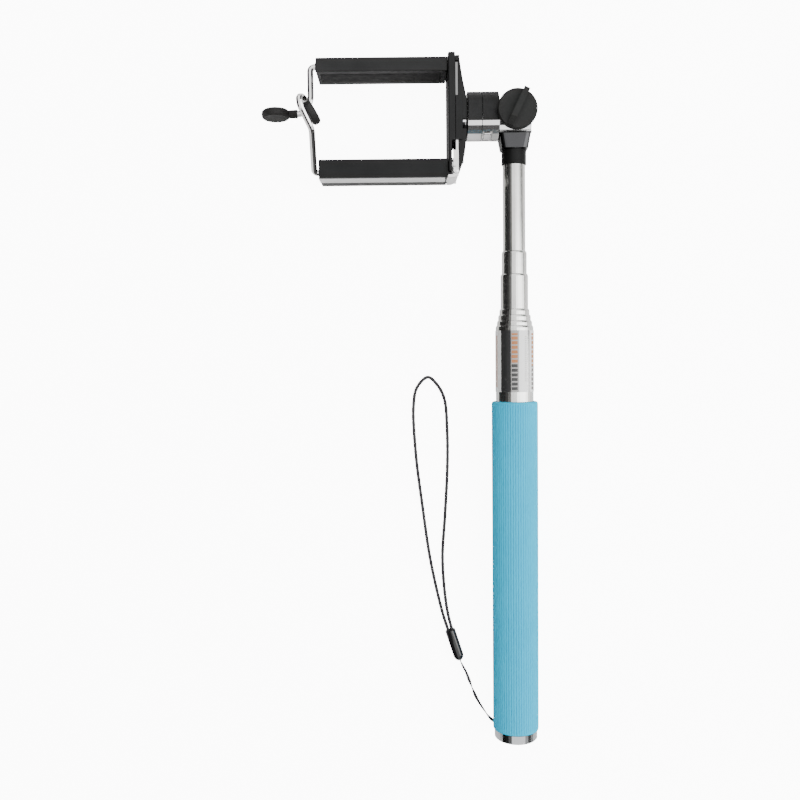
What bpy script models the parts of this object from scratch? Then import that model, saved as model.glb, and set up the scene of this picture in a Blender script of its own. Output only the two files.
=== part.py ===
"""Selfie stick: seven-section telescopic handle with a tilting head and a spring phone clamp.

The stick lies on its side along Y, the clamp reaches to -X from the head, +Z is up.
All driving dimensions are in millimetres in a design frame (u, v, w):
  u = 0 and w = 0 on the stick's axis, v = 0 on the tilt pivot, +v away from the handle.
P() turns that frame into world metres, with the origin at the bottom centre of the box
that holds everything but the wrist strap.
"""
import math

import bmesh
import bpy
from mathutils import Matrix, Vector

MM = 0.001

# ---------------------------------------------------------------- driving dimensions (mm)
OFF_U, OFF_V, OFF_W = 52.26, 132.67, 11.00     # design frame to world
SEG = 40                                       # facets round the tubes

# telescopic sections: outer radius, top end and bottom end at rest (v)
STAGES = [
    ("outer_tube", 8.75, -96.0, -286.9),
    ("stage_2_tube", 8.15, -93.7, -249.0),
    ("stage_3_tube", 7.55, -91.0, -246.7),
    ("stage_4_tube", 6.95, -88.3, -244.0),
    ("stage_5_tube", 6.35, -72.2, -227.9),
    ("stage_6_tube", 5.75, -61.7, -217.4),
    ("stage_7_tube", 5.15, -16.0, -175.8),
]
WALL = 0.25
LIP = 0.50                                     # inward roll at a section's mouth

GRIP_R, GRIP_TOP, GRIP_END = 10.78, -131.2, -287.0
CAP_R, CAP_TOP, CAP_END = 10.10, -287.25, -291.45

HEAD_R = 11.0                                  # round swivel head, axis X
COVER_T = 1.45                                 # black shell on the chrome body
CHROME_HALF = math.radians(68)                 # exposed chrome arc, each side of -v
BLOCK_U = (-15.15, -7.5)
RING_U = (-21.65, -15.45)
STUD_R = 3.1

CHEEK_R, CHEEK_IN, CHEEK_OUT = 7.2, 5.15, 7.35
KNOB_R = 8.96

JAW_HALF = 10.0                                # jaw half width (w)
UPPER_JAW_V = (18.1, 24.35)
LOWER_JAW_V = (-27.75, -20.74)
JAW_LEFT = (-90.0, -89.3)
PLATE_U = (-30.65, -27.45)
PLATE_V = (-26.5, 26.1)

WIRE_R = 1.4
UPPER_HINGE = (21.8, 4.5)                      # v, w of the upper wire's pivot
LOWER_HINGE = (-24.6, -1.0)
PADDLE_R, PADDLE_T = 6.5, 3.6

STRAP_R = 0.85
TAIL_R = 0.55


def P(u, v, w):
    return Vector(((u + OFF_U) * MM, (v + OFF_V) * MM, (w + OFF_W) * MM))


for ob in list(bpy.data.objects):
    bpy.data.objects.remove(ob, do_unlink=True)

# ---------------------------------------------------------------- materials
def material(name, color, roughness, metallic):
    m = bpy.data.materials.new(name)
    m.use_nodes = True
    b = m.node_tree.nodes["Principled BSDF"]
    b.inputs["Base Color"].default_value = (*color, 1.0)
    b.inputs["Roughness"].default_value = roughness
    b.inputs["Metallic"].default_value = metallic
    m.diffuse_color = (*color, 1.0)
    return m


CYAN = material("grip_cyan", (0.12, 0.62, 0.78), 0.55, 0.0)
STEEL = material("stick_steel", (0.72, 0.72, 0.71), 0.22, 1.0)
CHROME = material("chrome", (0.80, 0.80, 0.82), 0.08, 1.0)
BLACK = material("black_plastic", (0.03, 0.03, 0.032), 0.45, 0.0)
GLOSS = material("black_gloss", (0.015, 0.015, 0.016), 0.15, 0.0)
RUBBER = material("black_rubber", (0.035, 0.035, 0.036), 0.75, 0.0)
LABEL = material("label", (0.85, 0.85, 0.86), 0.25, 0.0)
CORD = material("cord_black", (0.02, 0.02, 0.022), 0.8, 0.0)
SPRING = material("spring_steel", (0.5, 0.5, 0.5), 0.35, 1.0)
NYLON = material("nylon", (0.75, 0.75, 0.72), 0.5, 0.0)
BRONZE = material("bronze", (0.70, 0.50, 0.28), 0.35, 1.0)

# ---------------------------------------------------------------- empties on the joints
BODIES = {}


def body(name, pivot, parent=None):
    e = bpy.data.objects.new("axis_" + name, None)
    bpy.context.collection.objects.link(e)
    e.empty_display_size = 0.01
    base = P(*pivot)
    if parent:
        e.parent = BODIES[parent][0]
        e.location = base - BODIES[parent][1]
    else:
        e.location = base
    BODIES[name] = (e, base)


body("handle", (0, CAP_END, 0))
chain = "handle"
for i, (n, r, top, bot) in enumerate(STAGES[1:], start=2):
    body("stage_%d" % i, (0, top, 0), chain)
    chain = "stage_%d" % i
body("tilt_knob", (0, 0, 7.35), "stage_7")
body("tilt_head", (0, 0, 0), "stage_7")
body("lock_ring", (RING_U[0], 0, 0), "tilt_head")
body("clamp", (-22.4, 0, 0), "tilt_head")
body("lower_jaw", (-27.0, -29.05, 0), "clamp")
body("upper_arm", (-90.0, *UPPER_HINGE), "clamp")
body("lower_arm", (-89.3, *LOWER_HINGE), "lower_jaw")

# ---------------------------------------------------------------- modelling helpers
def place(ob, body_name):
    """Parents an object to its body's empty; its mesh is in metres about that empty."""
    bpy.context.collection.objects.link(ob)
    ob.parent = BODIES[body_name][0]


def outward(bm):
    bmesh.ops.recalc_face_normals(bm, faces=bm.faces)
    if bm.calc_volume(signed=True) < 0:
        bmesh.ops.reverse_faces(bm, faces=bm.faces)


def to_local(bm, body_name):
    base = BODIES[body_name][1]
    for vt in bm.verts:
        vt.co = P(*vt.co) - base


def emit(name, bm, mat, body_name, sharp=35, bevel=0.0, bevel_seg=2, bevel_angle=40):
    outward(bm)
    to_local(bm, body_name)
    me = bpy.data.meshes.new(name)
    bm.to_mesh(me)
    bm.free()
    me.materials.append(mat)
    me.shade_smooth()
    me.set_sharp_from_angle(angle=math.radians(sharp))
    ob = bpy.data.objects.new(name, me)
    place(ob, body_name)
    ob["body"] = body_name
    if bevel:
        md = ob.modifiers.new("edge", "BEVEL")
        md.width = bevel * MM
        md.segments = bevel_seg
        md.limit_method = "ANGLE"
        md.angle_limit = math.radians(bevel_angle)
    return ob


def tool(target, bm, op="DIFFERENCE", tag="cut"):
    """Adds a boolean tool made in the design frame to the target's modifier stack."""
    outward(bm)
    to_local(bm, target["body"])
    name = "%s_%s_%d" % (tag, target.name, len(target.modifiers))
    me = bpy.data.meshes.new(name)
    bm.to_mesh(me)
    bm.free()
    c = bpy.data.objects.new(name, me)
    place(c, target["body"])
    c.hide_render = True
    c.display_type = "WIRE"
    md = target.modifiers.new(name, "BOOLEAN")
    md.operation = op
    md.solver = "EXACT"
    md.object = c
    return c


AXIS_TURN = {
    "Z": Matrix.Identity(3),
    "Y": Matrix(((1, 0, 0), (0, 0, 1), (0, -1, 0))),     # local z -> v
    "X": Matrix(((0, 0, 1), (0, 1, 0), (-1, 0, 0))),     # local z -> u
}


def turned(profile, axis="Y", centre=(0, 0, 0), segs=SEG):
    """Spins a closed profile of (radius, position along the axis) round the axis."""
    bm = bmesh.new()
    vs = [bm.verts.new((r, 0.0, a)) for r, a in profile]
    es = []
    for i, vt in enumerate(vs):
        nx = vs[(i + 1) % len(vs)]
        if profile[i][0] < 1e-6 and profile[(i + 1) % len(vs)][0] < 1e-6:
            continue
        es.append(bm.edges.new((vt, nx)))
    bmesh.ops.spin(bm, geom=vs + es, cent=(0, 0, 0), axis=(0, 0, 1), angle=2 * math.pi,
                   steps=segs, use_merge=True, use_duplicate=False)
    bmesh.ops.remove_doubles(bm, verts=bm.verts, dist=1e-4)
    turn = AXIS_TURN[axis]
    off = Vector(centre)
    for vt in bm.verts:
        vt.co = turn @ vt.co + off
    return bm


def rod(r, a0, a1, axis="Y", centre=(0, 0, 0), segs=24):
    return turned([(0, a0), (r, a0), (r, a1), (0, a1)], axis, centre, segs)


def prism(poly, axis, lo, hi):
    """Extrudes a 2-D outline. axis Z: (u, v); axis X: (v, w); axis Y: (u, w)."""
    def at(p, h):
        return {"Z": (p[0], p[1], h), "X": (h, p[0], p[1]), "Y": (p[0], h, p[1])}[axis]
    bm = bmesh.new()
    f = bm.faces.new([bm.verts.new(at(p, lo)) for p in poly])
    ext = bmesh.ops.extrude_face_region(bm, geom=[f])
    step = Vector(at((0, 0), hi)) - Vector(at((0, 0), lo))
    bmesh.ops.translate(bm, vec=step, verts=[g for g in ext["geom"] if isinstance(g, bmesh.types.BMVert)])
    return bm


def box(u0, u1, v0, v1, w0, w1):
    return prism([(u0, v0), (u1, v0), (u1, v1), (u0, v1)], "Z", w0, w1)


def arc(cx, cy, r, a0, a1, n):
    return [(cx + r * math.cos(a0 + (a1 - a0) * i / n), cy + r * math.sin(a0 + (a1 - a0) * i / n))
            for i in range(n + 1)]


def join(bm, other):
    me = bpy.data.meshes.new("tmp")
    other.to_mesh(me)
    other.free()
    bm.from_mesh(me)
    bpy.data.meshes.remove(me)
    return bm


def smooth_route(points, step):
    """Centripetal Catmull-Rom curve through the route's own points, resampled evenly."""
    pts = [Vector(p) for p in points]
    ext = [pts[0] * 2 - pts[1]] + pts + [pts[-1] * 2 - pts[-2]]
    dense = []
    for i in range(1, len(ext) - 2):
        p0, p1, p2, p3 = ext[i - 1:i + 3]
        t0 = 0.0
        t1 = t0 + max((p1 - p0).length, 1e-6) ** 0.5
        t2 = t1 + max((p2 - p1).length, 1e-6) ** 0.5
        t3 = t2 + max((p3 - p2).length, 1e-6) ** 0.5
        for k in range(24):
            t = t1 + (t2 - t1) * k / 24
            a1 = p0 * ((t1 - t) / (t1 - t0)) + p1 * ((t - t0) / (t1 - t0))
            a2 = p1 * ((t2 - t) / (t2 - t1)) + p2 * ((t - t1) / (t2 - t1))
            a3 = p2 * ((t3 - t) / (t3 - t2)) + p3 * ((t - t2) / (t3 - t2))
            b1 = a1 * ((t2 - t) / (t2 - t0)) + a2 * ((t - t0) / (t2 - t0))
            b2 = a2 * ((t3 - t) / (t3 - t1)) + a3 * ((t - t1) / (t3 - t1))
            dense.append(b1 * ((t2 - t) / (t2 - t1)) + b2 * ((t - t1) / (t2 - t1)))
    dense.append(pts[-1])
    total = sum((b - a).length for a, b in zip(dense, dense[1:]))
    n = max(2, round(total / step))
    out, run, j = [dense[0]], 0.0, 1
    for k in range(1, n):
        want = total * k / n
        while run + (dense[j] - dense[j - 1]).length < want:
            run += (dense[j] - dense[j - 1]).length
            j += 1
        seg = (dense[j] - dense[j - 1])
        out.append(dense[j - 1] + seg * ((want - run) / seg.length))
    out.append(dense[-1])
    return out


def above(points, w):
    """Keeps a cord's centreline at or above the height w."""
    return [Vector((p.x, p.y, max(p.z, w))) for p in points]


def bent_rod(name, points, r, mat, body_name, resolution=2):
    """A round rod or cord: a bevelled poly curve with filled ends."""
    cu = bpy.data.curves.new(name, "CURVE")
    cu.dimensions = "3D"
    cu.bevel_depth = r * MM
    cu.bevel_resolution = resolution
    cu.use_fill_caps = True
    sp = cu.splines.new("POLY")
    sp.points.add(len(points) - 1)
    base = BODIES[body_name][1]
    for pt, p in zip(sp.points, points):
        pt.co = (*(P(*p) - base), 1.0)
    sp.use_smooth = True
    cu.materials.append(mat)
    ob = bpy.data.objects.new(name, cu)
    place(ob, body_name)
    return ob


def bend(points, radius, n=5):
    """Rounds each inner corner of a polyline with an arc-like quadratic blend."""
    pts = [Vector(p) for p in points]
    out = [pts[0]]
    for a, b, c in zip(pts, pts[1:], pts[2:]):
        d1, d2 = (a - b), (c - b)
        cut = min(radius, d1.length * 0.48, d2.length * 0.48)
        p, q = b + d1.normalized() * cut, b + d2.normalized() * cut
        for k in range(n + 1):
            t = k / n
            out.append(p * (1 - t) ** 2 + b * 2 * t * (1 - t) + q * t ** 2)
    out.append(pts[-1])
    return out


# ================================================================ handle and telescopic tubes
def tube_profile(r, top, bot):
    ri, lip = r - WALL, r - LIP
    return [(r, bot), (r, top - 1.0), (r - 0.12, top - 0.4), (r - 0.36, top), (lip, top),
            (lip, top - 1.8), (ri, top - 2.2), (ri, bot)]


for i, (name, r, top, bot) in enumerate(STAGES, start=1):
    bname = "handle" if i == 1 else "stage_%d" % i
    if i < 7:
        bm = turned(tube_profile(r, top, bot))
    else:
        bm = turned([(r, bot), (r, top), (r - WALL, top), (r - WALL, bot)])
    emit(name, bm, STEEL, bname)
    if i > 1:
        # slit friction sleeve crimped near the lower end, it runs inside the next tube out
        a = bot + 12.5
        emit("friction_sleeve_%d" % i,
             turned([(r + 0.06, a), (r + 0.27, a + 0.8), (r + 0.27, a + 9.2), (r + 0.06, a + 10.0)]),
             BRONZE, bname)

emit("grip_sleeve", turned([(GRIP_R, GRIP_END + 0.5), (GRIP_R, GRIP_TOP - 0.7), (GRIP_R - 0.6, GRIP_TOP),
                            (8.90, GRIP_TOP), (8.90, GRIP_END), (GRIP_R - 0.4, GRIP_END)]), CYAN, "handle")
emit("label_film", turned([(8.80, -126.6), (8.90, -126.6), (8.90, -98.3), (8.80, -98.3)]), LABEL, "handle")

cap = emit("end_cap", turned([(0, CAP_END), (CAP_R - 0.5, CAP_END), (CAP_R, CAP_END + 0.5), (CAP_R, CAP_TOP),
                              (8.38, CAP_TOP), (8.38, -276.5), (8.0, -276.0), (6.6, -276.0), (6.6, CAP_END + 1.0),
                              (0, CAP_END + 1.0)]), CHROME, "handle")
HOLE_DIR = Vector((-math.sin(math.radians(40)), 0, -math.cos(math.radians(40))))
HOLE_V = -289.1
hole = rod(0.95, 5.0, 12.0, "Z", segs=16)
rot = Vector((0, 0, 1)).rotation_difference(HOLE_DIR).to_matrix()
for vt in hole.verts:
    vt.co = rot @ vt.co + Vector((0, HOLE_V, 0))
tool(cap, hole)

emit("top_collar", turned([(5.28, -22.3), (5.45, -22.3), (5.68, -22.0), (5.68, -15.85), (5.45, -15.55), (5.28, -15.55)]),
     BLACK, "stage_7")

# ================================================================ tilt fork, bolt and knob
outline = [(-CHEEK_R, -9.0)] + arc(0, 0, CHEEK_R, math.pi, 0, 18) + [(CHEEK_R, -9.0)]
yoke = emit("yoke_fork", prism(outline, "Z", -CHEEK_OUT, CHEEK_OUT), CHROME, "stage_7")
base_top = []
for q, (sx, sy) in enumerate(((1, 1), (-1, 1), (-1, -1), (1, -1))):
    base_top += arc(sx * (CHEEK_R - 2.2), sy * (CHEEK_OUT - 2.2), 2.2, q * math.pi / 2, (q + 1) * math.pi / 2, 5)
base_low = []
for q, (sx, sy) in enumerate(((1, 1), (-1, 1), (-1, -1), (1, -1))):
    base_low += arc(sx * 3.6, sy * 3.6, 2.5, q * math.pi / 2, (q + 1) * math.pi / 2, 5)
bm = bmesh.new()
rings = []
for ring, v in ((base_top, -7.35), (base_top, -8.6), (base_low, -15.25)):
    rings.append([bm.verts.new((x, v, y)) for x, y in ring])
n = len(base_top)
for ra, rb in zip(rings, rings[1:]):
    for k in range(n):
        bm.faces.new((ra[k], ra[(k + 1) % n], rb[(k + 1) % n], rb[k]))
bm.faces.new(rings[0])
bm.faces.new(rings[-1])
tool(yoke, bm, "UNION", "add")
tool(yoke, rod(4.75, -38.0, -14.5, "Y", segs=32), "UNION", "add")
tool(yoke, box(-12, 12, -7.5, 12, -CHEEK_IN, CHEEK_IN))
for sgn in (1, -1):
    # sloping step across each cheek, above the solid base
    step = [(-5.7, 7.6), (-5.7, 7.35), (-8.1, 6.2), (-8.1, 7.6)]
    tool(yoke, prism([(v, w * sgn) for v, w in step], "X", -9.0, 9.0))
tool(yoke, rod(2.45, -9, 9, "Z", segs=24))

emit("tilt_bolt", turned([(0, -10.2), (3.6, -10.2), (4.0, -9.8), (4.0, -7.55), (2.25, -7.55), (2.25, 13.0), (0, 13.0)],
                         "Z", segs=24), CHROME, "stage_7")

knob = emit("tilt_knob", turned([(2.4, 8.35), (4.9, 8.35), (4.9, 11.45), (KNOB_R - 0.6, 11.45), (KNOB_R, 11.9),
                                 (KNOB_R, 14.0), (KNOB_R - 0.5, 14.5), (0, 14.5), (0, 13.2), (2.4, 13.2)],
                                "Z", segs=48), BLACK, "tilt_knob")
WING_A = math.radians(64.5)
side = [(-8.1, 14.2), (9.4, 14.2), (9.4, 16.9), (8.8, 17.5), (-4.6, 17.5), (-8.1, 15.3)]
bm = bmesh.new()
f = bm.faces.new([bm.verts.new((s, -1.35, h)) for s, h in side])
ext = bmesh.ops.extrude_face_region(bm, geom=[f])
bmesh.ops.translate(bm, vec=(0, 2.7, 0), verts=[g for g in ext["geom"] if isinstance(g, bmesh.types.BMVert)])
bmesh.ops.rotate(bm, cent=(0, 0, 0), matrix=Matrix.Rotation(WING_A, 3, "Z"), verts=bm.verts)
tool(knob, bm, "UNION", "add")

emit("knob_washer", turned([(2.5, 7.5), (6.2, 7.5), (6.2, 8.2), (2.5, 8.2)], "Z", segs=32), CHROME, "stage_7")
emit("friction_disc_upper", turned([(2.5, 4.62), (5.9, 4.62), (5.9, 5.03), (2.5, 5.03)], "Z", segs=32), NYLON, "tilt_head")
emit("friction_disc_lower", turned([(2.5, -5.03), (5.9, -5.03), (5.9, -4.62), (2.5, -4.62)], "Z", segs=32), NYLON, "tilt_head")

# ================================================================ swivel head: chrome bodies under black shells
# angle a is measured from -v towards +w; the chrome shows for |a| < CHROME_HALF
def head_point(r, a):
    return (-r * math.cos(a), r * math.sin(a))


def head_outline(n_out=12, n_in=24):
    core = HEAD_R - COVER_T - 0.15
    out = [head_point(HEAD_R, -CHROME_HALF + 2 * CHROME_HALF * i / n_out) for i in range(n_out + 1)]
    sweep = 2 * math.pi - 2 * CHROME_HALF
    out += [head_point(core, CHROME_HALF + sweep * i / n_in) for i in range(n_in + 1)]
    return out


def cover_outline(n=24, gap=math.radians(0.9)):
    a0, a1 = CHROME_HALF + gap, 2 * math.pi - CHROME_HALF - gap
    outer = [head_point(HEAD_R, a0 + (a1 - a0) * i / n) for i in range(n + 1)]
    inner = [head_point(HEAD_R - COVER_T, a1 + (a0 - a1) * i / n) for i in range(n + 1)]
    return outer + inner


block = emit("tilt_block", prism(head_outline(), "X", *BLOCK_U), CHROME, "tilt_head")
tongue = [(-8.0, -6.4)] + arc(0, 0, 6.4, -math.pi / 2, math.pi / 2, 14) + [(-8.0, 6.4)]
tool(block, prism(tongue, "Z", -4.5, 4.5), "UNION", "add")
tool(block, rod(2.5, -6, 6, "Z", segs=24))
tool(block, rod(3.3, -16.0, -8.9, "X", segs=24))
tool(block, box(-14.85, -10.5, -12.0, -8.2, -3.0, 7.0))
emit("tilt_block_cover", prism(cover_outline(), "X", BLOCK_U[0] - 0.07, BLOCK_U[1] + 0.02), BLACK, "tilt_head",
     bevel=0.18, bevel_seg=2, bevel_angle=60)
tab = [head_point(10.55, math.radians(-12 + 43 * i / 8)) for i in range(9)]
emit("index_tab", prism([(-8.45, tab[0][1])] + tab + [(-8.45, tab[-1][1])], "X", -14.2, -11.1), CHROME, "tilt_head",
     bevel=0.3, bevel_seg=2)
emit("tripod_stud", turned([(0, -25.9), (2.7, -25.9), (STUD_R, -25.5), (STUD_R, -9.2), (0, -9.2)], "X", segs=24),
     CHROME, "tilt_head")

ring = emit("lock_ring", prism(head_outline(), "X", *RING_U), CHROME, "lock_ring")
tool(ring, rod(3.4, -23.0, -14.0, "X", segs=24))
emit("lock_ring_cover", prism(cover_outline(), "X", RING_U[0] + 0.02, RING_U[1] + 0.07), BLACK, "lock_ring",
     bevel=0.18, bevel_seg=2, bevel_angle=60)

# ================================================================ clamp housing
emit("back_plate", prism([(PLATE_U[0], PLATE_V[0]), (-29.1, PLATE_V[0]), (-29.1, -12.75), (PLATE_U[1], -12.75),
                          (PLATE_U[1], PLATE_V[1]), (PLATE_U[0], PLATE_V[1])], "Z", -11.0, 11.0), BLACK, "clamp",
     bevel=0.5)
plate = bpy.data.objects["back_plate"]
for sv in (18.0, -19.5):
    tool(plate, rod(0.95, -29.9, -26.0, "X", (0, sv, 0), 16))

dome = [(-26.1, -24.8), (-25.2, -24.8), (-24.7, -24.0), (-24.1, -22.4), (-23.3, -18.6), (-22.8, -14.5), (-22.55, -10.5),
        (-22.45, -8.5), (-22.45, 6.0), (-22.9, 9.0), (-23.8, 13.0), (-24.5, 17.2), (-25.1, 21.0), (-25.6, 24.6), (-26.1, 24.6)]
cover = emit("back_cover", prism(dome, "Z", -9.9, 9.9), BLACK, "clamp")
for sgn in (1, -1):
    skirt = [(-27.3, 10.05 * sgn), (-27.3, 10.9 * sgn), (-24.4, 10.9 * sgn), (-24.4, 9.3 * sgn), (-26.05, 9.3 * sgn),
             (-26.05, 10.05 * sgn)]
    tool(cover, prism(skirt, "Y", -12.5, 7.0), "UNION", "add")
tool(cover, turned([(0, -25.5), (9.3, -25.5), (9.3, -22.35), (0, -22.35)], "X", segs=36), "UNION", "add")
tool(cover, box(-27.3, -25.5, 22.6, 24.9, -9.8, 9.8), "UNION", "add")
tool(cover, box(-24.1, -21.0, -7.6, -3.2, 2.0, 12.0))
for sgn in (1, -1):
    lo, hi = sorted((6.1 * sgn, 8.1 * sgn))
    tool(cover, box(-27.0, -24.4, -13.0, 15.0, lo, hi))
    lo, hi = sorted((8.7 * sgn, 12.0 * sgn))
    tool(cover, box(-27.5, -25.8, -26.0, -16.5, lo, hi))
for sv, su in ((18.0, -25.3), (-19.5, -24.3)):
    tool(cover, turned([(0, -27), (1.05, -27), (1.05, su), (1.95, su), (1.95, -20), (0, -20)], "X", (0, sv, 0), 20))
    emit("cover_screw_upper" if sv > 0 else "cover_screw_lower",
         turned([(0, -29.7), (0.85, -29.7), (0.85, su + 0.1), (1.75, su + 0.1), (1.75, su + 0.75), (1.4, su + 1.1),
                 (0, su + 1.1)], "X", (0, sv, 0), 20), CHROME, "clamp")

tool(cover, turned([(0, -27), (5.15, -27), (5.15, -23.9), (8.05, -23.9), (8.05, -21), (0, -21)], "X", segs=36))
emit("thread_insert", turned([(3.3, -26.0), (5.0, -26.0), (5.0, -23.8), (7.9, -23.8), (7.9, -22.5), (3.3, -22.5)],
                             "X", segs=36), CHROME, "clamp")
emit("seat_washer", turned([(3.5, -22.3), (8.6, -22.3), (8.6, -21.85), (3.5, -21.85)], "X", segs=36), RUBBER, "clamp")

# two return springs pull the lower jaw up; each hooks over a peg inside the cover
for name, wc in (("return_spring_front", 7.1), ("return_spring_rear", -7.1)):
    turns, per = 10, 8
    coil = [(-25.25 + 0.62 * math.cos(2 * math.pi * k / per), -11.5 + 25.0 * k / (turns * per),
             wc + 0.62 * math.sin(2 * math.pi * k / per)) for k in range(turns * per + 1)]
    bent_rod(name, coil, 0.16, SPRING, "clamp", 0)

# upper jaw, its rubber pad and the bush that the upper wire turns in
uj = emit("upper_jaw", box(JAW_LEFT[0], PLATE_U[0] - 0.2, *UPPER_JAW_V, -JAW_HALF, JAW_HALF), BLACK, "clamp", bevel=0.45)
tool(uj, box(-88.2, -33.4, 17.0, 19.0, -5.7, 5.7))
tool(uj, rod(2.2, -95.0, -78.0, "X", (0, *UPPER_HINGE), 20))
emit("upper_jaw_pad", box(-88.0, -33.6, 17.95, 18.85, -5.5, 5.5), RUBBER, "clamp")
emit("upper_wire_bush", turned([(1.52, -90.55), (1.52, -79.0), (2.05, -79.0), (2.05, -90.55)], "X", (0, *UPPER_HINGE), 20),
     GLOSS, "clamp")

# ================================================================ sliding lower jaw
slider_l = [(-26.25, -28.1), (-26.25, 22.0), (-27.25, 22.0), (-27.25, -27.95), (-89.4, -27.95), (-89.4, -29.05), (-28.6, -29.05)]
slider = emit("slider_bracket", prism(slider_l, "Z", -9.9, 9.9), CHROME, "lower_jaw")
for sgn in (1, -1):
    # side flange in three flats, the middle one leaning
    ear = [(-28.5, 8.8), (-28.5, 9.9), (-24.4, 9.55), (-24.2, 9.9), (-21.0, 9.9), (-16.9, 9.2), (-16.9, 8.8)]
    tool(slider, prism([(v, w * sgn) for v, w in ear], "X", -28.45, -26.1), "UNION", "add")
# the leg runs between the lips of the lower jaw
tool(slider, box(-92.0, -30.7, -30.0, -27.0, 8.1, 11.0))
tool(slider, box(-92.0, -30.7, -30.0, -27.0, -11.0, -1.7))
for sgn in (1, -1):
    lo, hi = sorted((9.1 * sgn, 11.0 * sgn))
    tool(slider, box(-28.0, -26.0, 6.0, 24.0, lo, hi))
tool(slider, box(-27.8, -25.9, -22.5, 24.0, -1.9, 1.9))
for sgn in (1, -1):
    lo, hi = sorted((8.0 * sgn, 11.0 * sgn))
    tool(slider, rod(0.95, lo, hi, "Z", (-27.3, -26.2, 0), 16))

lj_outline = [(JAW_LEFT[1], -27.75), (JAW_LEFT[1], -20.74), (-30.85, -20.74), (-30.85, -26.75), (-29.1, -26.75),
              (-29.1, -27.75)]
lj = emit("lower_jaw", prism(lj_outline, "Z", -JAW_HALF, JAW_HALF), BLACK, "lower_jaw", bevel=0.3)
tool(lj, box(JAW_LEFT[1] + 0.1, -31.0, -29.05, -27.5, 8.3, JAW_HALF - 0.05), "UNION", "add")
tool(lj, box(JAW_LEFT[1] + 0.1, -31.0, -29.05, -27.5, -JAW_HALF + 0.05, -1.95), "UNION", "add")
tool(lj, box(-87.6, -33.4, -21.64, -19.5, -5.7, 5.7))
tool(lj, rod(2.2, -95.0, -77.5, "X", (0, *LOWER_HINGE), 20))
emit("lower_jaw_pad", box(-87.4, -33.6, -21.5, -20.6, -5.5, 5.5), RUBBER, "lower_jaw")
emit("lower_wire_bush", turned([(1.52, -89.95), (1.52, -78.3), (2.05, -78.3), (2.05, -89.95)], "X", (0, *LOWER_HINGE), 20),
     GLOSS, "lower_jaw")
for sgn, name in ((1, "slider_rivet_front"), (-1, "slider_rivet_rear")):
    prof = [(0, 8.6), (0.82, 8.6), (0.82, 10.02), (1.4, 10.02), (1.2, 10.5), (0, 10.7)]
    emit(name, turned([(r, a * sgn) for r, a in prof], "Z", (-27.3, -26.2, 0), 16), CHROME, "lower_jaw")

# ================================================================ wire arms with paddles
def paddle(name, start, direction, neck, normal_hint, body_name):
    """Rubber paddle: a thick disc on a round neck. start is the neck's open end."""
    d = Vector(direction).normalized()
    nrm = Vector(normal_hint)
    nrm = (nrm - d * nrm.dot(d)).normalized()
    centre = Vector(start) + d * (neck + PADDLE_R)
    h = PADDLE_T / 2
    disc = turned([(0, -h + 0.25), (PADDLE_R - 1.6, -h + 0.1), (PADDLE_R - 0.9, -h), (PADDLE_R - 0.2, -h + 0.6),
                   (PADDLE_R, 0), (PADDLE_R - 0.2, h - 0.6), (PADDLE_R - 0.9, h), (PADDLE_R - 1.6, h - 0.1),
                   (0, h - 0.25)], "Z", segs=28)
    m = Matrix((d, nrm.cross(d), nrm)).transposed()
    for vt in disc.verts:
        vt.co = m @ vt.co + centre
    ob = emit(name, disc, RUBBER, body_name)
    stem = turned([(0, 0), (1.95, 0), (1.85, neck), (1.5, neck + 2.2), (0, neck + 2.2)], "Z", segs=16)
    turn = Vector((0, 0, 1)).rotation_difference(d).to_matrix()
    for vt in stem.verts:
        vt.co = turn @ vt.co + Vector(start)
    tool(ob, stem, "UNION", "add")
    bore = rod(1.5, -1.0, 4.2, "Z", segs=16)
    for vt in bore.verts:
        vt.co = turn @ vt.co + Vector(start)
    tool(ob, bore)
    notch = box(-0.7, 0.7, -0.7, 0.7, -3, 3)
    for vt in notch.verts:
        vt.co = m @ vt.co + centre + d * (PADDLE_R + 0.25)
    tool(ob, notch)
    return centre


UV, UW = UPPER_HINGE
upper_pts = [(-79.6, UV, UW), (-92.9, UV, UW), (-92.8, 6.6, UW), (-96.2, 0.95, UW), (-102.4, 0.83, UW)]
bent_rod("upper_wire", bend(upper_pts, 2.3), WIRE_R, CHROME, "upper_arm", 3)
paddle("upper_paddle", (-98.9, 0.9, UW), (-1, -0.02, 0), 3.4, (0, -0.9986, 0.05),
       "upper_arm")

LV, LW = LOWER_HINGE
PAD2_C = Vector((-92.3, 0.0, 12.6))
PAD2_D = Vector((0.245, -0.435, -0.866)).normalized()
tip = PAD2_C - PAD2_D * (PADDLE_R + 0.3)
lower_pts = [(-78.9, LV, LW), (-92.2, LV, LW), (-91.6, -8.5, 14.6), (-95.9, 0.2, 22.0), (-96.3, 3.7, 22.9),
             tuple(tip - PAD2_D * 2.4), tuple(tip + PAD2_D * 3.2)]
bent_rod("lower_wire", bend(lower_pts, 1.9), WIRE_R, CHROME, "lower_arm", 3)
paddle("lower_paddle", tuple(tip), tuple(PAD2_D), 0.3, (-0.87, -0.49, 0.1), "lower_arm")

# ================================================================ wrist strap
BEAD_A, BEAD_B = Vector((-30.6, -242.1, -8.45)), Vector((-25.9, -256.7, -8.45))
BD = (BEAD_B - BEAD_A).normalized()
BL = (BEAD_B - BEAD_A).length
bead = turned([(1.95, 0.0), (2.35, 0.0), (2.48, 0.3), (2.48, BL - 2.2), (2.1, BL - 0.9), (1.3, BL), (0.75, BL),
               (0.75, BL - 5.0), (1.95, BL - 6.0)], "Z", segs=24)
turn = Vector((0, 0, 1)).rotation_difference(BD).to_matrix()
for vt in bead.verts:
    vt.co = turn @ vt.co + BEAD_A
emit("strap_bead", bead, GLOSS, "handle")

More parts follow.
